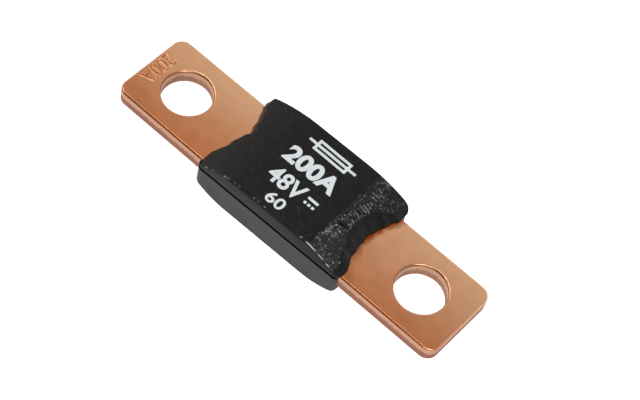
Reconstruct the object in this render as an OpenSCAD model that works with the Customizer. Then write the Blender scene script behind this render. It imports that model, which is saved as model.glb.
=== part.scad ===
// Bolt down strip fuse: one stamped copper strip with a fusible link,
// held between a moulded tray and an arched moulded cover.
// Origin midway between the two stud holes, on the underside of the strip.
// +X runs along the strip and +Z points up through the stud holes.

/* [Copper strip] */
// Width of the strip
strip_w = 15.6; // [14:0.1:17]
// Thickness of the strip at its terminals
strip_t = 2.75; // [2:0.05:3.5]
// Radius of the strip's four corners in plan
corner_r = 2; // [0.8:0.1:3]
// Radius that the stamping rolls onto the upper edges
edge_r = 0.4; // [0.2:0.05:0.6]

/* [Stud holes] */
// Distance from each stud hole's centre to the housing's end
stud_to_body = 10.5; // [9:0.1:12]
// Distance from each stud hole's centre to the end of the strip
end_reach = 8.65; // [7.5:0.05:12]
// Diameter of each stud hole
stud_hole_d = 8.8; // [6:0.1:10]

/* [Fusible link] */
// Thickness of the coined link
link_t = 0.9; // [0.5:0.05:1.4]
// Width of the link at its neck
neck_w = 3.6; // [3:0.1:5]
// Radius of the two side cuts that leave the neck
neck_cut_r = 6.2; // [5:0.1:7]
// Half length of the flat coined stretch
coin_half_l = 4.6; // [3.5:0.1:5.5]
// Diameter of the hole that holds the tin pill
pill_hole_d = 1.5; // [1:0.1:1.8]
// Diameter of the pill's two heads
pill_head_d = 2.6; // [2.2:0.1:2.8]
// Height of each head over the link
pill_head_h = 0.4; // [0.2:0.05:0.6]

/* [Housing] */
// Length of the housing along the strip
body_l = 30; // [28:0.1:32]
// Width of the housing across the strip
body_w = 18.4; // [18.2:0.1:20]
// Offset of the tray along the strip, towards +X
tray_shift_x = -0.1; // [-0.2:0.05:0]
// Offset of the cover along the strip, towards +X
cover_shift_x = 0.1; // [0:0.05:0.2]
// Offset of the welded housing across the strip, towards +Y
body_shift_y = 0.48; // [0:0.01:0.5]
// Angle by which the welded housing sits askew on the strip
body_turn = 1; // [0:0.1:1.2]
// Radius of the housing's upright corners
body_corner_r = 1.1; // [0.3:0.1:1.5]
// Radius kept clear round each stud for its nut and washer
stud_clear_r = 12.1; // [11:0.1:12.6]
// Height of the cover over the strip's upper face
cover_h = 3.2; // [2.9:0.05:4]
// Half length of the cover's flat top
cover_flat_half_l = 5.2; // [4:0.1:7]
// Radius of the arch from the flat top down to each end
arch_r = 19; // [18:0.5:30]
// Share by which the arch falls more on the near side and less on the far side
arch_lean = 0.2; // [0:0.05:0.3]
// Radius on the cover's long upper edges
cover_edge_r = 0.3; // [0.1:0.05:0.3]
// Depth of the tray under the strip
tray_h = 3.3; // [2.8:0.05:4.5]
// Half length of the tray's flat bottom
tray_flat_half_l = 8; // [6:0.1:10]
// Height by which the tray's bottom rises to each end
tray_rise = 1.4; // [0.5:0.1:1.8]
// Radius of the tray's lower end corners
tray_end_r = 1; // [0.4:0.1:1.3]

/* [Joint between the shells] */
// Height of the cover's skirt along both long sides
skirt_h = 0.25; // [0.15:0.05:0.4]
// Thickness of the skirt
skirt_w = 0.35; // [0.35:0.05:0.5]
// Height of the shadow gap under the skirt
parting_gap = 0.42; // [0.1:0.02:0.5]
// Diameter of the four locating posts
post_d = 2.2; // [1.6:0.1:2.4]
// Distance of the posts from the middle along the strip
post_x = 9.4; // [9:0.1:9.8]
// Distance of the posts from the housing's centre line
post_y = 6.5; // [6.2:0.1:6.8]
// Sideways clearance round the posts and the strip
seat_gap = 0.1; // [0.05:0.01:0.15]
// Depth of the arc chamber in the cover
cover_pocket = 1.3; // [0.8:0.1:1.5]
// Depth of the arc chamber in the tray
tray_pocket = 1.7; // [1:0.1:1.8]
// Half length of the arc chamber
pocket_half_l = 7; // [6.5:0.1:7.2]
// Width of the arc chamber
pocket_w = 11.6; // [10:0.1:12]

/* [Squeezed out ends of the cover] */
// Fall of the drawn out plastic at the +X end, per unit of run
flash_slope = 1; // [0.8:0.05:2]
// Distance by which the drawn out plastic stays back from the stud clearance
flash_set_back = 0.17; // [0:0.01:0.3]
// Distance by which its edge stays further back, per unit of distance towards -Y
flash_lean = 0.03; // [0:0.005:0.04]
// Fall of the steeper wall at the -X end, per unit of run
wall_slope = 2.3; // [1.5:0.1:4]
// Height of the drawn out plastic where it stops on the copper
flash_lip = 0.18; // [0.1:0.01:0.3]
// Waviness of the drawn out edges
flash_wave = 0.16; // [0:0.01:0.2]
// Size of the step in the -X edge
nick_size = 0.3; // [0:0.01:0.35]
// Place of the step along the edge
nick_y = 0.2; // [-4:0.1:4]

/* [Hidden] */

$fn = 64;
eps = 0.01;
stud_x = body_l / 2 + stud_to_body;
strip_l = 2 * (stud_x + end_reach);
link_low = (strip_t - link_t) / 2;
link_high = (strip_t + link_t) / 2;
pocket_r = 1.5;
chamber_draft = 0.3;
end_zone_x = 10.4;
end_columns = 9;
rim_blend = 0.5;
toe_turn = 60;
rebate_gap = 0.02;

copper = [0.74, 0.47, 0.33];
tin = [0.78, 0.79, 0.8];
moulding = [0.13, 0.13, 0.12];

// Shared shapes

// Places children in the housing's own frame, which is a little askew on the strip
module in_housing(shift_x = tray_shift_x) {
    translate([shift_x, body_shift_y, 0]) rotate([0, 0, body_turn]) children();
}

// Rectangle with round corners
module rounded_plate(l, w, r) {
    for (sx = [-1, 1], sy = [-1, 1])
        translate([sx * (l / 2 - r), sy * (w / 2 - r)]) circle(r);
    square([l - 2 * r, w], center = true);
    square([l, w - 2 * r], center = true);
}

// Places children on the four post centres, with +Y pointing outwards
module at_posts() {
    in_housing() for (sx = [-1, 1], sy = [-1, 1])
        translate([sx * post_x, sy * post_y, 0]) mirror([0, sy > 0 ? 0 : 1, 0]) children();
}

// Section that a rolled edge takes away, with its corner at the origin
module edge_section(r) {
    difference() {
        translate([-r, -r]) square(r + 1);
        translate([-r, -r]) circle(r);
        translate([-2 * r - 1, -r - 1]) square([r + 1, 2 * r + 2]);
    }
}

// Cutter for a straight rolled edge of length l along X, at y = 0
module straight_edge(l, r) {
    rotate([90, 0, 90]) linear_extrude(height = l, center = true) edge_section(r);
}

// Cutter for the rolled edge round a plan corner of radius R
module corner_edge(R, r) {
    rotate_extrude(angle = 90) translate([R, 0]) edge_section(r);
}

// Cutter for the rolled rim of a hole of diameter d
module hole_edge(d, r) {
    rotate_extrude() translate([d / 2, 0]) mirror([1, 0]) edge_section(r);
}

// Copper strip

module strip_plan() {
    difference() {
        rounded_plate(strip_l, strip_w, corner_r);
        for (s = [-1, 1]) {
            translate([s * stud_x, 0]) circle(d = stud_hole_d);
            translate([0, s * (neck_w / 2 + neck_cut_r)]) circle(neck_cut_r);
        }
        circle(d = pill_hole_d);
    }
}

// Notches in the strip's sides, where the posts of the tray pass
module post_notches() {
    notch_d = post_d + 2 * seat_gap;
    at_posts() translate([0, 0, -1]) {
        cylinder(d = notch_d, h = strip_t + 2);
        translate([-notch_d / 2, 0, 0]) cube([notch_d, strip_w / 2, strip_t + 2]);
    }
}

// Prism that coining presses away over and under the link
module coined_away() {
    depth = link_low;
    rotate([90, 0, 0]) linear_extrude(height = strip_w + 2, center = true)
        polygon([
            [-coin_half_l, 0], [coin_half_l, 0],
            [coin_half_l + depth + 1, depth + 1], [-coin_half_l - depth - 1, depth + 1],
        ]);
}

module rolled_edges() {
    for (s = [0, 180]) rotate([0, 0, s]) {
        translate([0, strip_w / 2, 0]) straight_edge(strip_l - 2 * corner_r, edge_r);
        translate([strip_l / 2, 0, 0])
            rotate([0, 0, -90]) straight_edge(strip_w - 2 * corner_r, edge_r);
        translate([strip_l / 2 - corner_r, strip_w / 2 - corner_r, 0])
            corner_edge(corner_r, edge_r);
        translate([-strip_l / 2 + corner_r, strip_w / 2 - corner_r, 0])
            rotate([0, 0, 90]) corner_edge(corner_r, edge_r);
        translate([stud_x, 0, 0]) hole_edge(stud_hole_d, edge_r);
    }
}

module fuse_strip() {
    color(copper) difference() {
        linear_extrude(height = strip_t) strip_plan();
        post_notches();
        translate([0, 0, link_high]) coined_away();
        translate([0, 0, link_low]) mirror([0, 0, 1]) coined_away();
        translate([0, 0, strip_t]) rolled_edges();
    }
}

// Tin pill, headed over on both faces of the link

module tin_pill() {
    color(tin) rotate_extrude() {
        translate([0, link_low]) square([pill_hole_d / 2, link_t]);
        translate([0, link_high]) square([pill_head_d / 2, pill_head_h]);
        translate([0, link_low - pill_head_h]) square([pill_head_d / 2, pill_head_h]);
    }
}

// Lower shell

// Quarter turn of points round a centre, from angle a to angle b
function arc_points(centre, r, a, b, steps) =
    [for (i = [0:steps]) let (t = a + (b - a) * i / steps) centre + r * [cos(t), sin(t)]];

// Points of the tray's bottom from the flat out to the +X end
function tray_end_points() =
    let (
        run = body_l / 2 - tray_end_r - tray_flat_half_l,
        bend_r = (run * run + tray_rise * tray_rise) / (2 * tray_rise),
        turn = asin(min(1, run / bend_r))
    )
    concat(
        arc_points([tray_flat_half_l, -tray_h + bend_r], bend_r, -90, -90 + turn, 8),
        arc_points(
            [body_l / 2 - tray_end_r, -tray_h + tray_rise + tray_end_r], tray_end_r, -toe_turn, 0, 4
        )
    );

module tray_side_profile() {
    right = concat(tray_end_points(), [[body_l / 2, strip_t]]);
    left = [for (i = [len(right) - 1:-1:0]) [-right[i].x, right[i].y]];
    polygon(concat(right, left));
}

// Upright walls of the tray: a round cornered plate cleared round each stud
module tray_plan() {
    difference() {
        rounded_plate(body_l, body_w, body_corner_r);
        for (s = [-1, 1]) translate([s * stud_x, 0]) circle(stud_clear_r);
    }
}

module arc_chamber(low, high) {
    in_housing() translate([0, 0, low]) linear_extrude(height = high - low)
        rounded_plate(2 * pocket_half_l, pocket_w, pocket_r);
}

// Rebate along both long sides for the cover's skirt and the shadow gap under it
module skirt_rebate() {
    low = strip_t - skirt_h - parting_gap;
    for (turn = [0, 180]) in_housing() rotate([0, 0, turn])
        translate([-body_l, body_w / 2 - skirt_w - rebate_gap, low])
            cube([2 * body_l, skirt_w + 1, strip_t + 1 - low]);
}

module tray_body() {
    in_housing() intersection() {
        rotate([90, 0, 0]) linear_extrude(height = body_w, center = true) tray_side_profile();
        translate([0, 0, -tray_h - 1]) linear_extrude(height = tray_h + strip_t + 2) tray_plan();
    }
}

module lower_housing() {
    color(moulding) {
        difference() {
            tray_body();
            translate([-body_l, -strip_w / 2 - seat_gap, 0])
                cube([2 * body_l, strip_w + 2 * seat_gap, strip_t + 1]);
            arc_chamber(-tray_pocket, 1);
            skirt_rebate();
        }
        at_posts() translate([0, 0, -eps]) cylinder(d = post_d, h = strip_t + eps);
    }
}

// Upper shell

// Smaller of two heights, with a soft turn of size k between them
function soft_min(a, b, k) =
    let (h = max(0, min(1, 0.5 + 0.5 * (b - a) / k))) b * (1 - h) + a * h - k * h * (1 - h);

// Waviness of a drawn out edge at distance y across the strip
function wave(y, phase) =
    flash_wave * (sin(150 * y + phase) * 0.45 + sin(67 * y + 2 * phase) * 0.55);

function step(y) = nick_size * (2 / (1 + exp((nick_y - y) * 6)) - 1);

// Distance from a stud's axis at which the cover stops on the copper
function end_radius(y, side) =
    side > 0 ? stud_clear_r + flash_set_back - flash_lean * y + wave(y, 30)
             : stud_clear_r + wave(y, 200) + step(y);

// How far the round corner sets the end face back at y
function corner_inset(y) =
    let (past = abs(y) - (body_w / 2 - body_corner_r))
    past > 0 ? body_corner_r - sqrt(max(0, pow(body_corner_r, 2) - past * past)) : 0;

// Furthest x that the cover reaches at y, on one side
function end_x(y, side) =
    let (r = end_radius(y, side))
    min(body_l / 2 - corner_inset(y), stud_x - sqrt(max(0, r * r - y * y)));

// Height of the arched top over the strip's upper face
function arch_height(x, y) =
    let (
        past = max(0, abs(x) - cover_flat_half_l),
        lean = 1 - arch_lean * 2 * y / body_w,
        fall = arch_r - sqrt(max(0, arch_r * arch_r - past * past))
    )
    cover_h - fall * lean;

// Height of the wall that rises away from a stud and from the housing's end
function wall_height(x, y, side) =
    let (out = min(norm([x - side * stud_x, y]) - end_radius(y, side), body_l / 2 - abs(x)))
    flash_lip + max(0, out) * (side > 0 ? flash_slope : wall_slope);

function edge_fall(y) =
    let (past = cover_edge_r - (body_w / 2 - abs(y)))
    past > 0 ? cover_edge_r - sqrt(max(0, pow(cover_edge_r, 2) - past * past)) : 0;

function cover_top(x, y) =
    let (
        side = x > 0 ? 1 : -1,
        free = arch_height(x, y) - edge_fall(y)
    )
    max(flash_lip / 2, soft_min(free, wall_height(x, y, side), rim_blend));

// Height of the cover's underside over the strip's upper face: the arc chamber rises
// in the middle, with its sides drafted, and the skirt hangs down along both long sides
function underside(x, y) =
    let (
        inside = min(pocket_half_l - abs(x), pocket_w / 2 - abs(y)),
        share = max(0, min(1, inside / chamber_draft))
    )
    cover_pocket * share - (abs(y) > body_w / 2 - skirt_w + eps ? skirt_h : 0);

// A rising list of values and its mirror image, joined at zero
function mirrored(half) =
    concat([for (i = [len(half) - 1:-1:0]) -half[i]], [0], half);

// Rows across the cover, closer together on its rounded edges and chamber sides
function row_places() =
    let (
        edge = body_w / 2,
        side = pocket_w / 2,
        half = concat(
            [for (i = [1:7]) (side - chamber_draft) * i / 7],
            [side],
            [for (i = [1:3]) side + (edge - skirt_w - side) * i / 3],
            [for (s = [0.05, 0.5, 0.87, 1]) edge - cover_edge_r * (1 - s)]
        )
    )
    mirrored(half);

// Columns along the middle of the cover, where its ends don't reach
function middle_places() =
    mirrored(concat(
        [cover_flat_half_l / 2, cover_flat_half_l, pocket_half_l - chamber_draft, pocket_half_l],
        [for (i = [1:4]) pocket_half_l + (end_zone_x - pocket_half_l) * i / 4]
    ));

// Columns from the middle zone out to one end, closer together towards the end
end_shares = [for (i = [1:end_columns]) sin(90 * i / end_columns)];

function column_places(y) = concat(
    [for (i = [end_columns - 1:-1:0]) -end_zone_x - (end_x(y, -1) - end_zone_x) * end_shares[i]],
    middle_places(),
    [for (i = [0:end_columns - 1]) end_zone_x + (end_x(y, 1) - end_zone_x) * end_shares[i]]
);

// The cover: an upper and a lower grid of points, closed by a wall round the rim
module upper_housing() {
    rows = row_places();
    nj = len(rows);
    plan = [for (y = rows) for (x = column_places(y)) [x, y]];
    ni = len(plan) / nj;
    n = ni * nj;
    outer = [for (p = plan) [p.x, p.y, strip_t + cover_top(p.x, p.y)]];
    inner = [for (p = plan) [p.x, p.y, strip_t + underside(p.x, p.y)]];
    cells = [for (j = [0:nj - 2]) for (i = [0:ni - 2]) j * ni + i];
    rim = concat(
        [for (i = [0:ni - 1]) i],
        [for (j = [1:nj - 1]) j * ni + ni - 1],
        [for (i = [ni - 2:-1:0]) (nj - 1) * ni + i],
        [for (j = [nj - 2:-1:1]) j * ni]
    );
    turns = len(rim);
    color(moulding) in_housing(cover_shift_x) polyhedron(
        points = concat(outer, inner),
        faces = concat(
            [for (a = cells) [a, a + ni, a + 1]],
            [for (a = cells) [a + 1, a + ni, a + ni + 1]],
            [for (a = cells) [n + a, n + a + 1, n + a + ni]],
            [for (a = cells) [n + a + 1, n + a + ni + 1, n + a + ni]],
            [for (k = [0:turns - 1]) [rim[k], rim[(k + 1) % turns], n + rim[k]]],
            [for (k = [0:turns - 1]) [rim[(k + 1) % turns], n + rim[(k + 1) % turns], n + rim[k]]]
        )
    );
}

fuse_strip();
tin_pill();
lower_housing();
upper_housing();
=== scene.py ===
"""Looks for the bolt down strip fuse: bare copper strip, matt black tray, rough welded cover and white print."""

import math

import bmesh
import bpy
import numpy as np
from mathutils import Matrix, Vector
from mathutils.bvhtree import BVHTree


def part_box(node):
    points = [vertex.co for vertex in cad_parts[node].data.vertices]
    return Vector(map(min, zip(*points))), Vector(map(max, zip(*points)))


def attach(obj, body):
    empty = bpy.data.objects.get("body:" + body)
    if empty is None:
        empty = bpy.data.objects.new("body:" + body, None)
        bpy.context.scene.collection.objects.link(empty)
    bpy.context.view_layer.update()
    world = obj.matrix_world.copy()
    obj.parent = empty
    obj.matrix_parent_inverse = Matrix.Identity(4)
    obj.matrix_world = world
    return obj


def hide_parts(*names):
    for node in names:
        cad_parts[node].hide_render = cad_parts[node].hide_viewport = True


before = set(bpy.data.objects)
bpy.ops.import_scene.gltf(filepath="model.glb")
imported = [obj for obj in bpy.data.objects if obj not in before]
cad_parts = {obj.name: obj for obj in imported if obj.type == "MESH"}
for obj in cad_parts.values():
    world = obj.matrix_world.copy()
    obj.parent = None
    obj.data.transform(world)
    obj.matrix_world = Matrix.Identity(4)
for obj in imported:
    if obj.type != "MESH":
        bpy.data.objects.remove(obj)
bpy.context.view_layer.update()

MM = 0.001

# Driving sizes of the part, in millimetres, as the CAD model has them
STRIP_T = 2.75
STUD_X = 25.5
STUD_CLEAR_R = 12.1
BODY_L = 30.0
BODY_W = 18.4
COVER_SHIFT = (0.1, 0.48)
BODY_TURN = math.radians(1.0)
BODY_CORNER_R = 1.1
COVER_H = 3.2
COVER_FLAT = 5.2
ARCH_R = 19.0
ARCH_LEAN = 0.2
COVER_EDGE_R = 0.3
FLASH_SLOPE = 1.0
WALL_SLOPE = 2.3
FLASH_SET_BACK = 0.17
FLASH_LEAN = 0.03
FLASH_LIP = 0.18
FLASH_WAVE = 0.16
NICK_SIZE = 0.3
NICK_Y = 0.2
RIM_BLEND = 0.5
SKIRT_H = 0.25
SKIRT_W = 0.35
PARTING_GAP = 0.42

# Camera: place, viewing direction and roll were fitted to the photograph
IMAGE_W = 640
FOCAL_PX = 1912.8
SENSOR_MM = 36.0
CAM_AZ = 0.492
CAM_EL = 0.984
CAM_ROLL = 0.278
CAM_EYE_MM = (83.743, -149.295, 255.785 + STRIP_T)


# Numeric helpers


def smooth(low, high, x):
    """0 below low, 1 above high, with a smooth rise between."""
    t = np.clip((x - low) / (high - low), 0.0, 1.0)
    return t * t * (3.0 - 2.0 * t)


def band(x, low, high, soft):
    """1 between low and high, with soft shoulders."""
    return smooth(low - soft, low + soft, x) * (1.0 - smooth(high - soft, high + soft, x))


def soft_min(a, b, k):
    h = np.clip(0.5 + 0.5 * (b - a) / k, 0.0, 1.0)
    return b * (1 - h) + a * h - k * h * (1 - h)


def lattice_noise(x, y, scale, seed):
    """Smooth value noise between -1 and 1, the same each run."""
    rng = np.random.default_rng(seed)
    table = rng.uniform(-1.0, 1.0, (256, 256))
    u, v = x / scale + 101.3, y / scale + 57.7
    i, j = np.floor(u).astype(int), np.floor(v).astype(int)
    fu, fv = u - i, v - j
    fu, fv = fu * fu * (3 - 2 * fu), fv * fv * (3 - 2 * fv)
    a = table[i % 256, j % 256]
    b = table[(i + 1) % 256, j % 256]
    c = table[i % 256, (j + 1) % 256]
    d = table[(i + 1) % 256, (j + 1) % 256]
    return (a * (1 - fu) + b * fu) * (1 - fv) + (c * (1 - fu) + d * fu) * fv


def fractal_noise(x, y, scale, seed, octaves=3):
    total, weight, size = 0.0, 1.0, scale
    for k in range(octaves):
        total = total + weight * lattice_noise(x, y, size, seed + k)
        weight *= 0.5
        size *= 0.5
    return total / (2.0 - 2.0 ** (1 - octaves))


# Cover: the same form as the CAD solid, with its weld marks and rough skin


def to_housing(x, y):
    """A plan point of the object's frame in the housing's own frame."""
    u, v = x - COVER_SHIFT[0], y - COVER_SHIFT[1]
    c, s = math.cos(BODY_TURN), math.sin(BODY_TURN)
    return c * u + s * v, c * v - s * u


def from_housing(points):
    """Points of the housing's own frame in the object's frame."""
    c, s = math.cos(BODY_TURN), math.sin(BODY_TURN)
    u, v = points[:, 0], points[:, 1]
    return np.stack([c * u - s * v + COVER_SHIFT[0], s * u + c * v + COVER_SHIFT[1], points[:, 2]], 1)


def wave(y, phase):
    return FLASH_WAVE * (
        np.sin(np.radians(150 * y + phase)) * 0.45 + np.sin(np.radians(67 * y + 2 * phase)) * 0.55
    )


def end_radius(y, side):
    if side > 0:
        return STUD_CLEAR_R + FLASH_SET_BACK - FLASH_LEAN * y + wave(y, 30)
    nick = NICK_SIZE * (2 / (1 + np.exp((NICK_Y - y) * 6)) - 1)
    return STUD_CLEAR_R + wave(y, 200) + nick


def end_x(y, side):
    past = np.abs(y) - (BODY_W / 2 - BODY_CORNER_R)
    inset = np.where(
        past > 0, BODY_CORNER_R - np.sqrt(np.maximum(0, BODY_CORNER_R**2 - past**2)), 0.0
    )
    r = end_radius(y, side)
    return np.minimum(BODY_L / 2 - inset, STUD_X - np.sqrt(np.maximum(0, r * r - y * y)))


def cover_height(x, y):
    """Height of the cover's smooth form over the strip's upper face."""
    past = np.maximum(0, np.abs(x) - COVER_FLAT)
    lean = 1 - ARCH_LEAN * 2 * y / BODY_W
    arch = COVER_H - (ARCH_R - np.sqrt(np.maximum(0, ARCH_R**2 - past**2))) * lean
    over = np.maximum(0, COVER_EDGE_R - (BODY_W / 2 - np.abs(y)))
    arch = arch - (COVER_EDGE_R - np.sqrt(np.maximum(0, COVER_EDGE_R**2 - over**2)))
    right = x > 0
    out = np.hypot(np.abs(x) - STUD_X, y) - np.where(right, end_radius(y, 1), end_radius(y, -1))
    out = np.minimum(out, BODY_L / 2 - np.abs(x))
    wall = FLASH_LIP + np.maximum(0, out) * np.where(right, FLASH_SLOPE, WALL_SLOPE)
    return np.maximum(FLASH_LIP / 2, soft_min(arch, wall, RIM_BLEND)), out


def new_object(name, verts, faces, smooth_shade=True):
    mesh = bpy.data.meshes.new(name)
    mesh.from_pydata([tuple(v) for v in verts], [], [tuple(int(i) for i in f) for f in faces])
    mesh.validate()
    mesh.update()
    if smooth_shade:
        mesh.polygons.foreach_set("use_smooth", [True] * len(mesh.polygons))
    obj = bpy.data.objects.new(name, mesh)
    bpy.context.scene.collection.objects.link(obj)
    return obj


def weld_zone(x, y, out):
    """Share of the rough weld marks at each point: they cover the ramp at the +X end."""
    start = 8.15 + 0.12 * lattice_noise(y, y * 0 + 3, 1.3, 21)
    on = smooth(start - 0.12, start + 0.12, x)
    drawn = 2.35 - 1.1 * smooth(2.0, 6.5, y) - 0.9 * smooth(-2.0, -6.0, y)
    on = on * smooth(drawn - 0.25, drawn + 0.25, out + 0.25 * lattice_noise(x, y, 1.1, 22))
    return on


def weld_ticks(x, y):
    """A row of short upright marks that the welding tool left, from -1 to 1."""
    row = band(x + 0.35 * lattice_noise(y, y * 0, 1.1, 4), 9.3, 10.9, 0.25) * band(y, -1.5, 6.5, 0.6)
    row = row * smooth(-0.55, 0.15, lattice_noise(x, y, 0.75, 33))
    lean = y + 0.26 * lattice_noise(x, y, 0.8, 5) + 0.12 * (x - 10)
    return row * np.sin(2 * np.pi * lean / 0.56)


def weld_grains(x, y):
    """Small lumps of the welded skin, stronger in patches."""
    patch = 0.62 + 0.38 * lattice_noise(x, y, 1.7, 9)
    return patch * (0.6 * lattice_noise(x, y, 0.24, 6) + 0.4 * lattice_noise(x, y, 0.16, 7))


def weld_pits(x, y):
    """A dark gouge and a thin slit across the welded skin."""
    width = 0.62 - 0.3 * smooth(8.6, 10.6, x)
    gouge = np.exp(-(((x - 9.7) / 1.05) ** 4) - ((y + 2.1 - 0.12 * (x - 9.7)) / width) ** 4)
    slit = np.exp(-(((x - 9.7) / 1.15) ** 6) - ((y - 1.4 + 0.16 * (x - 9.7)) / 0.13) ** 2)
    return np.maximum(gouge, 0.7 * slit)


def cover_detail(x, y, out):
    """Height that the skin adds to the smooth form."""
    rough = weld_zone(x, y, out)
    coarse = fractal_noise(x, y, 1.1, 8, 2)
    h = rough * (0.12 * weld_grains(x, y) + 0.06 * coarse + 0.06 * weld_ticks(x, y))
    h = h - 0.05 * rough
    h = h - 0.4 * weld_pits(x, y)
    h = h + 0.05 * fractal_noise(x, y, 3.2, 31, 2) * (1 - rough)
    flow = band(out, 0.2, 2.1, 0.4) * (x > 0)
    h = h + flow * 0.09 * fractal_noise(x, y, 1.0, 12, 2)
    edge = np.exp(-(((y + BODY_W / 2 - 0.35) / 0.3) ** 2))
    h = h + edge * 0.035 * lattice_noise(x, y, 0.5, 14) * (1 - smooth(7.6, 8.2, x))
    return h


def cover_profile_shares(n, zone):
    """Shares along a row, closer together near its two ends."""
    t = np.linspace(0, 1, n)
    return (1 - zone) * t + zone * 0.5 * (1 - np.cos(np.pi * t))


def make_cover():
    """The cover as one closed mesh: detailed top, upright rim, underside and two skirts."""
    nx, ny = 400, 180
    half = BODY_W / 2
    inner = np.linspace(-half + COVER_EDGE_R, half - COVER_EDGE_R, ny)
    low = -half + COVER_EDGE_R * (1 - np.cos(np.radians([0, 22, 45, 68])))
    step = half - SKIRT_W
    ys = np.sort(np.concatenate([low, inner, -low, [-step, step]]))
    share = cover_profile_shares(nx, 0.3)
    rows = []
    for y in ys:
        a, b = -end_x(y, -1), end_x(y, 1)
        rows.append(np.stack([a + (b - a) * share, np.full(nx, y)], 1))
    plan = np.array(rows)
    x, y = plan[..., 0], plan[..., 1]
    z, out = cover_height(x, y)
    room = np.minimum(1, np.maximum(0, z - 0.12) / 0.4)
    inset = smooth(0.0, 0.35, half - np.abs(y))
    z = z + cover_detail(x, y, out) * room * (0.12 + 0.88 * inset)
    verts = list(np.stack([x, y, STRIP_T + z], 2).reshape(-1, 3))
    nj = len(ys)
    faces = [
        (j * nx + i, j * nx + i + 1, (j + 1) * nx + i + 1, (j + 1) * nx + i)
        for j in range(nj - 1)
        for i in range(nx - 1)
    ]
    made = {}

    def under(j, i, z):
        """Index of the point straight under point i of row j, at height z."""
        if (j, i, z) not in made:
            made[(j, i, z)] = len(verts)
            verts.append(np.array([plan[j, i, 0], plan[j, i, 1], z]))
        return made[(j, i, z)]

    def wall(a, b, z):
        faces.append((b[0] * nx + b[1], a[0] * nx + a[1], under(*a, z), under(*b, z)))

    first, last = int(np.argmin(np.abs(ys + step))), int(np.argmin(np.abs(ys - step)))
    hem = STRIP_T - SKIRT_H
    for j0, j1, z in ((0, first, hem), (first, last, STRIP_T), (last, nj - 1, hem)):
        for j in range(j0, j1):
            wall((j, nx - 1), (j + 1, nx - 1), z)
            wall((j + 1, 0), (j, 0), z)
        ring = [under(j0, i, z) for i in range(nx)]
        ring += [under(j, nx - 1, z) for j in range(j0 + 1, j1)]
        ring += [under(j1, i, z) for i in range(nx - 1, -1, -1)]
        ring += [under(j, 0, z) for j in range(j1 - 1, j0, -1)]
        faces.append(tuple(reversed(ring)))
    for i in range(nx - 1):
        wall((0, i), (0, i + 1), hem)
        wall((nj - 1, i + 1), (nj - 1, i), hem)
        for j, turn in ((first, 1), (last, -1)):
            a, b = (i, i + 1)[::turn]
            faces.append(
                (under(j, a, hem), under(j, b, hem), under(j, b, STRIP_T), under(j, a, STRIP_T))
            )
    obj = new_object("welded_cover", from_housing(np.array(verts)) * MM, faces)
    n = nx * nj
    weld = weld_zone(x, y, out) * inset
    # painted highlights go where this mask is high, on the crests of the weld's lumps
    crest_highlight = smooth(0.21, 0.38, weld_grains(x, y) + 0.45 * weld_ticks(x, y) * (x > 0)) * weld
    crest_highlight = crest_highlight * (1 - 0.4 * smooth(-2.0, -0.5, y)) * (1 - 0.35 * smooth(4.5, 7.5, y))
    crest_highlight = crest_highlight * (1 - 0.55 * band(y, -5.4, -3.6, 0.5))
    near_edge = np.exp(-(((y + half - 0.1) / 0.06) ** 2)) * (y > 0.01 - half)
    # the edge attribute: a painted highlight along the near top edge at the right end, and light wear specks
    # further left
    glint_and_wear = band(x, 7.7, 14.2, 0.2) * smooth(-0.6, 0.1, lattice_noise(x, y, 0.6, 15))
    glint_and_wear = glint_and_wear + 0.5 * smooth(0.3, 0.7, lattice_noise(x, y * 0, 0.45, 16)) * (x < 7.5)
    for name, values in (
        ("weld", weld),
        ("crest_highlight", crest_highlight * (1 - weld_pits(x, y))),
        ("pit_shade", smooth(0.15, 0.6, weld_pits(x, y))),
        ("edge", near_edge * glint_and_wear),
        ("flow", band(out, -0.5, 1.9, 0.5) * (x > 0) * (1 - weld)),
    ):
        layer = obj.data.attributes.new(name, "FLOAT", "POINT")
        full = np.zeros(len(obj.data.vertices), np.float32)
        full[:n] = values.ravel()
        layer.data.foreach_set("value", full)
    shade_by_angle(obj, 50)
    return obj


def shade_by_angle(obj, degrees):
    """Smooth shading that breaks at sharp edges."""
    mesh = obj.data
    bm = bmesh.new()
    bm.from_mesh(mesh)
    limit = math.radians(degrees)
    for e in bm.edges:
        e.smooth = len(e.link_faces) == 2 and e.calc_face_angle(0) < limit
    for f in bm.faces:
        f.smooth = True
    bm.to_mesh(mesh)
    bm.free()


def clean_copy(node, name):
    """A welded copy of a CAD node's mesh, ready for bevels and cuts."""
    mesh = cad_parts[node].data.copy()
    mesh.name = name
    mesh.materials.clear()
    obj = bpy.data.objects.new(name, mesh)
    bpy.context.scene.collection.objects.link(obj)
    bm = bmesh.new()
    bm.from_mesh(mesh)
    bmesh.ops.remove_doubles(bm, verts=bm.verts, dist=1e-6)
    bmesh.ops.dissolve_limit(
        bm, angle_limit=math.radians(0.3), verts=bm.verts, edges=bm.edges
    )
    bm.to_mesh(mesh)
    bm.free()
    return obj


def apply_modifiers(obj):
    graph = bpy.context.evaluated_depsgraph_get()
    graph.update()
    mesh = bpy.data.meshes.new_from_object(obj.evaluated_get(graph))
    obj.modifiers.clear()
    obj.data = mesh


def weigh_normals(obj):
    """Lets the large flat faces set the normals at their rims."""
    weigh = obj.modifiers.new("weigh", "WEIGHTED_NORMAL")
    weigh.keep_sharp = True
    weigh.weight = 100
    apply_modifiers(obj)


def make_tray():
    obj = clean_copy("lower_housing", "moulded_tray")
    bevel = obj.modifiers.new("edges", "BEVEL")
    bevel.width = 0.16 * MM
    bevel.segments = 3
    bevel.limit_method = "ANGLE"
    bevel.angle_limit = math.radians(40)
    bevel.use_clamp_overlap = True
    apply_modifiers(obj)
    shade_by_angle(obj, 35)
    weigh_normals(obj)
    return obj


# Lettering: plain figures and symbols


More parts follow.
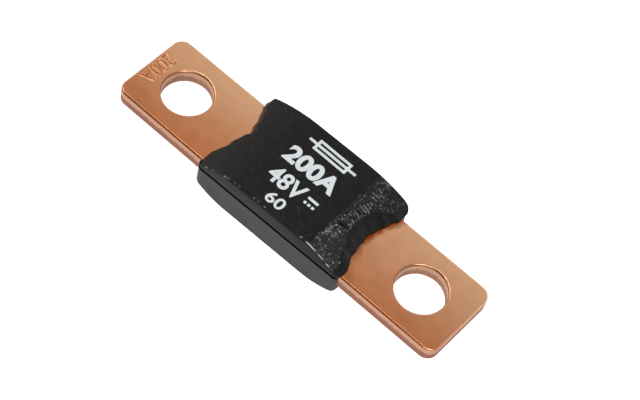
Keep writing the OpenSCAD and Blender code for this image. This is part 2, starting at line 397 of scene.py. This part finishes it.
def text_mesh(body, height, name, bold):
    """A flat mesh of the built in font, with the scale that makes the text that height in mm."""
    curve = bpy.data.curves.new(name, "FONT")
    curve.body = body
    curve.size = 1.0
    curve.offset = bold
    curve.resolution_u = 6
    obj = bpy.data.objects.new(name, curve)
    bpy.context.scene.collection.objects.link(obj)
    bpy.context.view_layer.update()
    graph = bpy.context.evaluated_depsgraph_get()
    mesh = bpy.data.meshes.new_from_object(obj.evaluated_get(graph))
    bpy.data.objects.remove(obj)
    co = np.array([v.co[:2] for v in mesh.vertices])
    low, high = co.min(0), co.max(0)
    scale = height / (high[1] - low[1])
    return mesh, (low, high), scale


def polygons_of(mesh, low, scale, origin, stretch):
    """The mesh's faces as lists of plan points in mm."""
    shapes = []
    for p in mesh.polygons:
        pts = []
        for i in p.vertices:
            co = mesh.vertices[i].co
            pts.append(
                (origin[0] + (co[0] - low[0]) * scale * stretch, origin[1] + (co[1] - low[1]) * scale)
            )
        shapes.append(pts)
    return shapes


def line_of_text(body, x0, x1, y0, y1, bold):
    """Text set between x0 and x1, with its figures from y0 to y1."""
    mesh, (low, high), scale = text_mesh(body, y1 - y0, "line", bold)
    stretch = (x1 - x0) / ((high[0] - low[0]) * scale)
    shapes = polygons_of(mesh, low, scale, (x0, y0), stretch)
    bpy.data.meshes.remove(mesh)
    return shapes


def bar(x0, x1, y0, y1):
    return [[(x0, y0), (x1, y0), (x1, y1), (x0, y1)]]


def fuse_symbol(x0, x1, y0, y1, lead, weight):
    """A long box with a line through it from end to end."""
    mid = (y0 + y1) / 2
    left, right = x0 + lead, x1 - lead
    half = weight / 2
    return (
        bar(left, right, y1 - weight, y1)
        + bar(left, right, y0, y0 + weight)
        + bar(left, left + weight, y0 + weight, y1 - weight)
        + bar(right - weight, right, y0 + weight, y1 - weight)
        + bar(x0, left, mid - half, mid + half)
        + bar(left + weight, right - weight, mid - half, mid + half)
        + bar(right, x1, mid - half, mid + half)
    )


def direct_current_symbol(x0, x1, y0, y1, weight):
    """A bar over three dashes."""
    dash = (x1 - x0) * 0.24
    step = (x1 - x0 - dash) / 2
    shapes = bar(x0, x1, y1 - weight, y1)
    for k in range(3):
        shapes += bar(x0 + k * step, x0 + k * step + dash, y0, y0 + weight)
    return shapes


def ink_mesh(name, shapes, lift, thick):
    """Thin ink on the cover: the shapes cut into small cells and laid on its arched top."""
    bm = bmesh.new()
    for pts in shapes:
        bm.faces.new([bm.verts.new((x, y, 0)) for x, y in pts])
    bmesh.ops.remove_doubles(bm, verts=bm.verts, dist=1e-4)
    step = 0.3
    for axis, reach in ((0, 8), (1, 10)):
        normal = Vector((1, 0, 0)) if axis == 0 else Vector((0, 1, 0))
        for k in range(int(-reach / step), int(reach / step) + 1):
            geom = bm.verts[:] + bm.edges[:] + bm.faces[:]
            bmesh.ops.bisect_plane(bm, geom=geom, plane_co=normal * (k * step), plane_no=normal)
    bmesh.ops.triangulate(bm, faces=bm.faces[:])
    for f in bm.faces:
        if f.normal.z < 0:
            f.normal_flip()
    top = [v for v in bm.verts]
    x = np.array([v.co.x for v in top])
    y = np.array([v.co.y for v in top])
    x, y = to_housing(x, y)
    z, out = cover_height(x, y)
    z = z + cover_detail(x, y, out) + STRIP_T
    for v, h in zip(top, z):
        v.co.z = h + lift + thick
    edge_loops = [e for e in bm.edges if len(e.link_faces) == 1]
    made = bmesh.ops.extrude_edge_only(bm, edges=edge_loops)
    for v in [g for g in made["geom"] if isinstance(g, bmesh.types.BMVert)]:
        v.co.z -= thick + 0.05
    for v in bm.verts:
        v.co = v.co * MM
    mesh = bpy.data.meshes.new(name)
    bm.normal_update()
    bm.to_mesh(mesh)
    bm.free()
    obj = bpy.data.objects.new(name, mesh)
    bpy.context.scene.collection.objects.link(obj)
    return obj


def make_print():
    shapes = fuse_symbol(-4.6, 5.3, 5.25, 7.6, 1.5, 0.5)
    shapes += line_of_text("200A", -5.5, 5.1, 0.3, 3.85, 0.042)
    shapes += line_of_text("48V", -4.8, 2.1, -4.45, -1.05, 0.024)
    shapes += direct_current_symbol(2.8, 4.9, -3.6, -2.0, 0.5)
    shapes += line_of_text("60", -2.1, 1.4, -7.7, -5.45, 0.02)
    return ink_mesh("white_print", shapes, 0.012, 0.012)


# Copper strip, with figures pressed into the far left end of its upper face

STAMP_X = (-33.7, -30.45)
STAMP_Y = (-3.7, 3.8)
STAMP_DEPTH = 0.2
STAMP_LIP = 0.02


def outline_of(shapes):
    """The outer edges of a set of joined polygons, as an array of segments."""
    count = {}
    for pts in shapes:
        keys = [(round(x, 4), round(y, 4)) for x, y in pts]
        for k, a in enumerate(keys):
            b = keys[(k + 1) % len(keys)]
            if a != b:
                edge = (min(a, b), max(a, b))
                count[edge] = count.get(edge, 0) + 1
    return np.array([e for e, n in count.items() if n == 1])


def signed_distance(x, y, segments):
    """Distance from each point to the outline, negative inside it."""
    p = np.stack([x.ravel(), y.ravel()], 1)
    best = np.full(len(p), 1e9)
    crossings = np.zeros(len(p), int)
    for a, b in segments:
        d = b - a
        t = np.clip(((p - a) @ d) / (d @ d), 0, 1)
        best = np.minimum(best, np.hypot(*(p - a - t[:, None] * d).T))
        spans = (a[1] > p[:, 1]) != (b[1] > p[:, 1])
        if d[1] != 0:
            crossings += spans & (p[:, 0] < a[0] + (p[:, 1] - a[1]) / d[1] * d[0])
    return np.where(crossings % 2 == 1, -best, best).reshape(x.shape)


def stamp_relief(x, y):
    """Height of the pressed figures: a rounded groove with a raised lip along it."""
    figures = outline_of(line_of_text("200A", -3.2, 3.2, -1.35, 1.35, -0.008))
    # reading runs towards -Y and the figures' heads point to +X
    across, up = -(y - 0.08), x + 32.2
    d = signed_distance(across, up, figures)
    groove = smooth(-0.03, 0.11, -d + 0.03)
    lip = np.exp(-(((d - 0.11) / 0.07) ** 2))
    edge = np.minimum(
        np.minimum(x - STAMP_X[0], STAMP_X[1] - x), np.minimum(y - STAMP_Y[0], STAMP_Y[1] - y)
    )
    return (STAMP_LIP * lip - STAMP_DEPTH * groove) * smooth(0.0, 0.1, edge), groove


def cut_window(bm, x0, x1, y0, y1, z):
    """Cuts a rectangle out of the flat face at height z that holds it."""
    middle = Vector(((x0 + x1) / 2, (y0 + y1) / 2, z)) * MM
    for axis, place in ((0, x0), (0, x1), (1, y0), (1, y1)):
        flat = [
            f
            for f in bm.faces
            if f.normal.z > 0.999
            and abs(f.calc_center_median().z - middle.z) < 1e-6
            and min(v.co[axis] for v in f.verts) < place * MM - 1e-7
            and max(v.co[axis] for v in f.verts) > place * MM + 1e-7
            and min(v.co[0] for v in f.verts) < x1 * MM
            and min(v.co[1] for v in f.verts) < y1 * MM
            and max(v.co[1] for v in f.verts) > y0 * MM
        ]
        geom = list({e for f in flat for e in f.edges}) + list({v for f in flat for v in f.verts})
        normal = Vector((1, 0, 0)) if axis == 0 else Vector((0, 1, 0))
        bmesh.ops.bisect_plane(bm, geom=geom + flat, plane_co=normal * place * MM, plane_no=normal)
    inside = [
        f
        for f in bm.faces
        if abs(f.calc_center_median().z - middle.z) < 1e-6
        and all(
            x0 - 1e-3 <= v.co.x / MM <= x1 + 1e-3 and y0 - 1e-3 <= v.co.y / MM <= y1 + 1e-3
            for v in f.verts
        )
    ]
    bmesh.ops.delete(bm, geom=inside, context="FACES_ONLY")


def make_strip():
    obj = clean_copy("fuse_strip", "copper_strip")
    bm = bmesh.new()
    bm.from_mesh(obj.data)
    bm.normal_update()
    cut_window(bm, *STAMP_X, *STAMP_Y, STRIP_T)
    bm.to_mesh(obj.data)
    bm.free()
    shade_by_angle(obj, 40)
    weigh_normals(obj)
    nx, ny = 110, 240
    x, y = np.meshgrid(np.linspace(*STAMP_X, nx), np.linspace(*STAMP_Y, ny))
    relief, groove = stamp_relief(x, y)
    verts = np.stack([x, y, STRIP_T + relief], 2).reshape(-1, 3) * MM
    faces = [
        (j * nx + i, j * nx + i + 1, (j + 1) * nx + i + 1, (j + 1) * nx + i)
        for j in range(ny - 1)
        for i in range(nx - 1)
    ]
    figures = new_object("pressed_figures", verts, faces)
    layer = figures.data.attributes.new("pressed", "FLOAT", "POINT")
    layer.data.foreach_set("value", (0.5 + 0.5 * groove).ravel().astype(np.float32))
    return obj, figures


# Materials


class Shader:
    """A small builder for node materials."""

    def __init__(self, name):
        self.material = bpy.data.materials.new(name)
        self.material.use_nodes = True
        self.tree = self.material.node_tree
        self.tree.nodes.clear()
        self.out = self.add("ShaderNodeOutputMaterial")
        self.bsdf = self.add("ShaderNodeBsdfPrincipled")
        self.link(self.bsdf.outputs["BSDF"], self.out.inputs["Surface"])
        self.place = self.add("ShaderNodeTexCoord").outputs["Object"]

    def add(self, kind, **values):
        node = self.tree.nodes.new(kind)
        for key, value in values.items():
            setattr(node, key, value)
        return node

    def link(self, source, target):
        self.tree.links.new(source, target)

    def noise(self, size_mm, detail=2.0, stretch=(1, 1, 1), rough=0.5):
        """Noise with features of about that size, between 0 and 1."""
        mapping = self.add("ShaderNodeMapping")
        self.link(self.place, mapping.inputs["Vector"])
        mapping.inputs["Scale"].default_value = stretch
        node = self.add("ShaderNodeTexNoise")
        self.link(mapping.outputs["Vector"], node.inputs["Vector"])
        node.inputs["Scale"].default_value = 1.0 / (size_mm * MM)
        node.inputs["Detail"].default_value = detail
        node.inputs["Roughness"].default_value = rough
        return node.outputs["Fac"]

    def axis(self, name, source="Object"):
        """One axis of the object's coordinates or of its normal."""
        node = self.add("ShaderNodeSeparateXYZ")
        self.link(self.place.node.outputs[source], node.inputs[0])
        return node.outputs[name]

    def attribute(self, name):
        return self.add("ShaderNodeAttribute", attribute_name=name).outputs["Fac"]

    def ramp(self, source, low, high, a, b):
        """Maps source from low..high to a..b, clamped."""
        node = self.add("ShaderNodeMapRange")
        self.link(source, node.inputs["Value"])
        node.inputs["From Min"].default_value = low
        node.inputs["From Max"].default_value = high
        node.inputs["To Min"].default_value = a
        node.inputs["To Max"].default_value = b
        return node.outputs["Result"]

    def math(self, operation, a, b):
        node = self.add("ShaderNodeMath", operation=operation)
        for socket, value in zip(node.inputs, (a, b)):
            if isinstance(value, (int, float)):
                socket.default_value = value
            else:
                self.link(value, socket)
        return node.outputs["Value"]

    def mix(self, share, a, b):
        """Colour mix: share is a socket, a and b are colours or sockets."""
        node = self.add("ShaderNodeMix", data_type="RGBA")
        self.link(share, node.inputs["Factor"])
        for socket, value in ((node.inputs[6], a), (node.inputs[7], b)):
            if isinstance(value, tuple):
                socket.default_value = (*value, 1.0)
            else:
                self.link(value, socket)
        return node.outputs[2]

    def bump(self, height, distance_mm, strength=1.0):
        node = self.add("ShaderNodeBump")
        node.inputs["Distance"].default_value = distance_mm * MM
        node.inputs["Strength"].default_value = strength
        self.link(height, node.inputs["Height"])
        self.link(node.outputs["Normal"], self.bsdf.inputs["Normal"])

    def set(self, socket, value):
        self.bsdf.inputs[socket].default_value = value

    def drive(self, socket, source):
        self.link(source, self.bsdf.inputs[socket])


def linear(r, g, b):
    """An sRGB colour from 0 to 255 as linear values."""

    def one(v):
        v /= 255
        return v / 12.92 if v <= 0.04045 else ((v + 0.055) / 1.055) ** 2.4

    return (one(r), one(g), one(b))


def copper_material():
    """Bare copper, with burnished and broken bands where it was cut; painted sheen makes its top paler towards
    the far side and warmer along the near side, and painted shade and a painted reflection darken some places.
    """
    s = Shader("bare_copper")
    cloud = s.noise(7.0, 3.0, (0.6, 1, 1))
    blotch = s.noise(1.6, 3.0, (0.7, 1, 1))
    fine = s.noise(0.5, 2.0, (0.15, 1, 1))
    grain = s.noise(0.09, 2.0, (0.2, 1, 1))
    # painted sheen: the top's colour runs from a deep warm tone on the near side to a paler one on the far side
    across = s.math("ADD", s.axis("Y"), s.math("MULTIPLY", s.math("SUBTRACT", cloud, 0.5), 0.006))
    face = s.mix(s.ramp(across, -0.006, 0.008, 0, 1), linear(226, 145, 98), linear(255, 199, 152))
    face = s.mix(s.ramp(blotch, 0.6, 0.85, 0, 0.08), face, linear(214, 122, 76))
    # the pressed figures carry 0.5 on the flat and 1 in their grooves, all else carries 0
    pressed = s.attribute("pressed")
    # painted shade: the grooves of the pressed figures are darker
    face = s.mix(s.ramp(pressed, 0.5, 1.0, 0, 0.25), face, linear(176, 96, 58))
    # painted reflection: a dark brown band, the dark cover mirrored in the copper beside the cover's right edge,
    # fainter on the near side
    distance_to_cover_arc = s.add("ShaderNodeVectorMath", operation="DISTANCE")
    s.link(s.place, distance_to_cover_arc.inputs[0])
    distance_to_cover_arc.inputs[1].default_value = (25.6 * MM, 0.92 * MM, STRIP_T * MM)
    reach = s.math("ADD", distance_to_cover_arc.outputs["Value"], s.math("MULTIPLY", s.noise(1.3, 3.0), 0.0016))
    cover_reflection = s.math("MULTIPLY", s.ramp(reach, 0.0119, 0.01295, 0, 1), s.ramp(reach, 0.014, 0.015, 1, 0))
    cover_reflection = s.math("MULTIPLY", cover_reflection, s.ramp(s.axis("Y"), -0.005, 0.0, 0.25, 1.0))
    face = s.mix(cover_reflection, face, linear(168, 77, 34))
    # cut faces: a burnished band above, where the tool sheared, and a rough break below
    drag = s.noise(0.25, 2.0, (1, 1, 0.12))
    ragged = s.math("MULTIPLY", s.math("SUBTRACT", s.noise(1.1, 3.0, (1, 1, 0.3)), 0.5), 0.0009)
    height = s.math("ADD", s.axis("Z"), ragged)
    broken = s.ramp(height, 1.15 * MM, 1.65 * MM, 1, 0)
    cut = s.mix(broken, linear(202, 154, 126), linear(156, 109, 88))
    cut = s.mix(s.ramp(drag, 0.5, 0.8, 0, 0.25), cut, linear(186, 132, 104))
    from_stud = s.math("SUBTRACT", s.math("ABSOLUTE", s.axis("X"), 0.0), STUD_X * MM)
    across = s.axis("Y")
    reach = s.math("ADD", s.math("MULTIPLY", from_stud, from_stud), s.math("MULTIPLY", across, across))
    bore = s.ramp(reach, 2.35e-5, 2.6e-5, 0.13, 0)
    cut = s.mix(bore, cut, (1.0, 0.85, 0.62))
    # painted shade: cut faces that face +X are darker
    cut = s.mix(s.ramp(s.axis("X", "Normal"), 0.75, 0.95, 0, 0.25), cut, linear(120, 74, 48))
    facing = s.math("ABSOLUTE", s.axis("Z", "Normal"), 0.0)
    upright = s.ramp(facing, 0.25, 0.6, 1, 0)
    # painted shade: a dark line along the rolled edges, where the faces turn from flat to upright, weaker on the
    # figures and at the right end
    rolled_edge_shade = s.math("MULTIPLY", s.ramp(facing, 0.2, 0.45, 0, 0.6), s.ramp(facing, 0.83, 0.96, 1, 0))
    rolled_edge_shade = s.math("MULTIPLY", rolled_edge_shade, s.ramp(pressed, 0.0, 0.4, 1, 0.25))
    rolled_edge_shade = s.math("MULTIPLY", rolled_edge_shade, s.ramp(s.axis("X"), 0.028, 0.033, 1, 0.1))
    colour = s.mix(rolled_edge_shade, s.mix(upright, face, cut), linear(112, 60, 34))
    s.drive("Base Color", colour)
    s.set("Metallic", 1.0)
    rough = s.ramp(blotch, 0.3, 0.75, 0.27, 0.36)
    coarse = s.math("MULTIPLY", upright, s.math("ADD", s.math("MULTIPLY", broken, 0.16), 0.06))
    s.drive("Roughness", s.math("ADD", rough, coarse))
    lines = s.math("ADD", grain, s.math("MULTIPLY", fine, 1.2))
    torn = s.math("MULTIPLY", s.math("MULTIPLY", upright, drag), s.math("ADD", broken, 0.3))
    s.bump(s.math("ADD", s.math("MULTIPLY", lines, 0.4), s.math("MULTIPLY", torn, 4.0)), 0.008, 0.5)
    return s.material


def tray_material():
    """Fine moulded black, with painted shade that makes it near black and barely shiny inside the joint under
    the cover's skirt.
    """
    s = Shader("black_tray")
    grain = s.noise(0.18, 2.0)
    cloud = s.noise(4.0, 2.0)
    base = s.mix(cloud, linear(28, 28, 26), linear(46, 46, 43))
    low = (STRIP_T - SKIRT_H - PARTING_GAP) * MM
    # painted shade: near black and barely shiny from just under the floor of the rebate upwards
    joint_shade = s.ramp(s.axis("Z"), low - 0.2 * MM, low - 0.08 * MM, 0, 1)
    s.drive("Base Color", s.mix(joint_shade, base, (0.001, 0.001, 0.001)))
    s.drive("Specular IOR Level", s.ramp(joint_shade, 0, 1, 0.5, 0.03))
    s.drive("Roughness", s.ramp(cloud, 0.3, 0.7, 0.42, 0.52))
    s.bump(grain, 0.008, 0.5)
    return s.material


def cover_material():
    s = Shader("black_cover")
    weld = s.attribute("weld")
    flow = s.attribute("flow")
    grain = s.noise(0.14, 3.0, rough=0.65)
    scuff = s.noise(0.8, 4.0, (1, 1, 1), 0.6)
    cloud = s.noise(3.5, 2.0)
    edge = s.attribute("edge")
    base = s.mix(cloud, linear(11, 10, 8), linear(18, 16, 13))
    base = s.mix(s.ramp(scuff, 0.56, 0.76, 0, 0.26), base, linear(80, 77, 70))
    base = s.mix(s.math("MULTIPLY", weld, 0.7), base, linear(5, 5, 5))
    # painted highlights: light specks on the crests of the weld's lumps
    speck_highlights = s.math("MULTIPLY", s.attribute("crest_highlight"), s.ramp(grain, 0.35, 0.6, 0.3, 1.0))
    base = s.mix(speck_highlights, base, linear(172, 172, 168))
    # painted shade: the gouge and slit are near black
    pit_shade = s.attribute("pit_shade")
    base = s.mix(pit_shade, base, (0.001, 0.001, 0.001))
    # painted highlight along the near top edge at the right end, with light wear specks further left
    base = s.mix(edge, base, linear(215, 215, 210))
    hem = (STRIP_T - SKIRT_H) * MM
    # painted shade: the lowest tenth of a millimetre of the skirt, over the joint, is near black and without
    # shine
    base = s.mix(s.ramp(s.axis("Z"), hem + 0.04 * MM, hem + 0.12 * MM, 1, 0), base, (0.001, 0.001, 0.001))
    s.drive("Base Color", base)
    rough = s.ramp(scuff, 0.3, 0.75, 0.36, 0.48)
    smoother = s.math("ADD", s.math("MULTIPLY", flow, 0.14), s.math("MULTIPLY", weld, 0.14))
    s.drive("Roughness", s.math("SUBTRACT", rough, smoother))
    gloss = s.math("MULTIPLY", weld, s.ramp(s.axis("Y"), -0.002, 0.0005, 0.65, 0.35))
    shine = s.math("MAXIMUM", gloss, edge)
    shine = s.math("MULTIPLY", shine, s.math("SUBTRACT", 1.0, pit_shade))
    side = s.ramp(s.math("ABSOLUTE", s.axis("Y", "Normal"), 0.0), 0.85, 0.97, 0, 0.8)
    right = s.ramp(s.axis("X"), 0.002, 0.009, 0, 0.35)
    brow = (STRIP_T + 0.72 * COVER_H) * MM
    upper = s.ramp(s.axis("Z"), brow - 0.15 * MM, brow + 0.15 * MM, 0, 0.85)
    side = s.math("MULTIPLY", side, s.math("MAXIMUM", right, upper))
    side = s.math("MAXIMUM", side, s.ramp(s.axis("Z"), hem + 0.04 * MM, hem + 0.12 * MM, 1, 0))
    shine = s.math("MULTIPLY", s.ramp(shine, 0, 1, 0.25, 0.8), s.math("SUBTRACT", 1.0, side))
    s.drive("Specular IOR Level", shine)
    height = s.math("MULTIPLY", grain, s.math("ADD", s.math("MULTIPLY", weld, 1.6), 0.35))
    s.bump(height, 0.03, 0.6)
    return s.material


def ink_material():
    s = Shader("white_ink")
    grain = s.noise(0.25, 3.0)
    s.drive(
        "Base Color", s.mix(s.ramp(grain, 0.35, 0.7, 0, 1), linear(205, 212, 214), linear(232, 238, 240))
    )
    s.drive("Roughness", s.ramp(grain, 0.3, 0.7, 0.5, 0.7))
    s.bump(grain, 0.01, 0.4)
    return s.material


def tin_material():
    s = Shader("dull_tin")
    grain = s.noise(0.2, 3.0)
    s.drive("Base Color", s.mix(grain, linear(180, 182, 184), linear(210, 212, 214)))
    s.set("Metallic", 1.0)
    s.drive("Roughness", s.ramp(grain, 0.3, 0.7, 0.4, 0.55))
    s.bump(grain, 0.02, 0.4)
    return s.material


# Stage, lights and camera


def floor_material():
    """White floor that keeps the shadow and is seen near white by the camera and in reflections."""
    s = Shader("pale_floor")
    grain = s.noise(40.0, 2.0)
    s.drive("Base Color", s.mix(grain, (0.78, 0.78, 0.78), (0.8, 0.8, 0.8)))
    s.set("Roughness", 0.9)
    s.set("Specular IOR Level", 0.0)
    path = s.add("ShaderNodeLightPath")
    seen = s.math("ADD", path.outputs["Is Camera Ray"], path.outputs["Is Glossy Ray"])
    seen = s.math("MINIMUM", s.math("ADD", seen, path.outputs["Is Transmission Ray"]), 1.0)
    glow = s.add("ShaderNodeEmission")
    glow.inputs["Color"].default_value = (1, 1, 1, 1)
    weight = s.math("ADD", s.math("MULTIPLY", path.outputs["Is Camera Ray"], 0.45), 0.35)
    s.link(s.math("MULTIPLY", seen, weight), glow.inputs["Strength"])
    total = s.add("ShaderNodeAddShader")
    s.link(s.bsdf.outputs["BSDF"], total.inputs[0])
    s.link(glow.outputs["Emission"], total.inputs[1])
    s.link(total.outputs["Shader"], s.out.inputs["Surface"])
    return s.material


def make_stage():
    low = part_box("lower_housing")[0][2]
    half, back, rise = 0.9, 0.55, 0.5
    verts, faces = [], []
    profile = [(-half, 0.0), (back - 0.15, 0.0)]
    profile += [
        (back - 0.15 + 0.15 * math.sin(a), 0.15 * (1 - math.cos(a)))
        for a in np.radians([15, 30, 45, 60, 75, 90])
    ]
    profile.append((back, rise))
    for y, z in profile:
        verts += [(-half, y, low + z), (half, y, low + z)]
    for k in range(len(profile) - 1):
        faces.append((2 * k, 2 * k + 1, 2 * k + 3, 2 * k + 2))
    floor = new_object("studio_floor", verts, faces)
    floor.data.materials.append(floor_material())
    return floor


def area_light(name, place, target, size, power, colour=(1, 1, 1)):
    data = bpy.data.lights.new(name, "AREA")
    data.shape = "RECTANGLE"
    data.size, data.size_y = size
    data.energy = power
    data.color = colour
    obj = bpy.data.objects.new(name, data)
    obj.location = place
    obj.rotation_euler = (Vector(target) - Vector(place)).to_track_quat("-Z", "Y").to_euler()
    obj.visible_camera = False
    bpy.context.scene.collection.objects.link(obj)
    return obj


def make_world():
    world = bpy.data.worlds.new("studio")
    bpy.context.scene.world = world
    world.use_nodes = True
    tree = world.node_tree
    tree.nodes.clear()
    out = tree.nodes.new("ShaderNodeOutputWorld")
    back = tree.nodes.new("ShaderNodeBackground")
    coord = tree.nodes.new("ShaderNodeTexCoord")
    split = tree.nodes.new("ShaderNodeSeparateXYZ")
    ramp = tree.nodes.new("ShaderNodeMapRange")
    tree.links.new(coord.outputs["Generated"], split.inputs[0])
    tree.links.new(split.outputs["Z"], ramp.inputs["Value"])
    ramp.inputs["From Min"].default_value = 0.1
    ramp.inputs["From Max"].default_value = 0.8
    ramp.inputs["To Min"].default_value = 0.9
    ramp.inputs["To Max"].default_value = 0.4
    # darker on the side of the camera
    side = tree.nodes.new("ShaderNodeVectorMath")
    side.operation = "DOT_PRODUCT"
    tree.links.new(coord.outputs["Generated"], side.inputs[0])
    side.inputs[1].default_value = (0.3, -0.85, 0.43)
    shade = tree.nodes.new("ShaderNodeMapRange")
    tree.links.new(side.outputs["Value"], shade.inputs["Value"])
    shade.inputs["From Min"].default_value = 0.2
    shade.inputs["From Max"].default_value = 0.7
    shade.inputs["To Min"].default_value = 1.05
    shade.inputs["To Max"].default_value = 0.2
    both = tree.nodes.new("ShaderNodeMath")
    both.operation = "MULTIPLY"
    tree.links.new(ramp.outputs["Result"], both.inputs[0])
    tree.links.new(shade.outputs["Result"], both.inputs[1])
    tree.links.new(both.outputs[0], back.inputs["Strength"])
    back.inputs["Color"].default_value = (1, 1, 1, 1)
    tree.links.new(back.outputs[0], out.inputs["Surface"])


def make_camera():
    data = bpy.data.cameras.new("camera")
    obj = bpy.data.objects.new("camera", data)
    bpy.context.scene.collection.objects.link(obj)
    data.sensor_width = SENSOR_MM
    data.sensor_fit = "HORIZONTAL"
    data.lens = FOCAL_PX * SENSOR_MM / IMAGE_W
    data.clip_start = 0.01
    data.clip_end = 10.0
    back = Vector(
        (
            math.sin(CAM_AZ) * math.cos(CAM_EL),
            -math.cos(CAM_AZ) * math.cos(CAM_EL),
            math.sin(CAM_EL),
        )
    )
    flat_right = Vector((math.cos(CAM_AZ), math.sin(CAM_AZ), 0))
    flat_up = back.cross(flat_right)
    right = math.cos(CAM_ROLL) * flat_right + math.sin(CAM_ROLL) * flat_up
    up = -math.sin(CAM_ROLL) * flat_right + math.cos(CAM_ROLL) * flat_up
    turn = Matrix((right, up, back)).transposed().to_4x4()
    obj.matrix_world = Matrix.Translation(Vector(CAM_EYE_MM) * MM) @ turn
    bpy.context.scene.camera = obj
    return obj


# Assembly


def dress(obj, material, node=None):
    obj.data.materials.clear()
    obj.data.materials.append(material)
    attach(obj, "root")
    if node:
        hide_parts(node)


def main():
    scene = bpy.context.scene
    scene.view_settings.view_transform = "Standard"
    make_camera()
    make_world()
    make_stage()
    area_light("card", (-0.019, 0.085, 0.065), (-0.019, 0.03, 0), (0.16, 0.09), 0.005)
    area_light("zenith", (-0.14, 0.0, 0.5), (0, 0, 0), (0.16, 0.05), 0.28)
    area_light("key", (-0.45, -0.1, 0.35), (0, 0, 0), (0.3, 0.3), 0.7)
    area_light("glint", (0.16, -0.25, 0.4), (0.16, 0, 0), (0.3, 0.04), 0.6)
    area_light("spark", (0.3, -0.165, 0.39), (0.03, 0, 0), (0.06, 0.06), 0.7)
    area_light("fill", (0.35, -0.3, 0.3), (0, 0, 0), (0.4, 0.3), 0.25)

    dress(make_cover(), cover_material(), "upper_housing")
    dress(make_tray(), tray_material(), "lower_housing")
    copper = copper_material()
    strip, figures = make_strip()
    dress(strip, copper, "fuse_strip")
    dress(figures, copper, "fuse_strip")
    dress(make_print(), ink_material())
    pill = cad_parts["tin_pill"]
    pill.data.materials.clear()
    pill.data.materials.append(tin_material())


main()
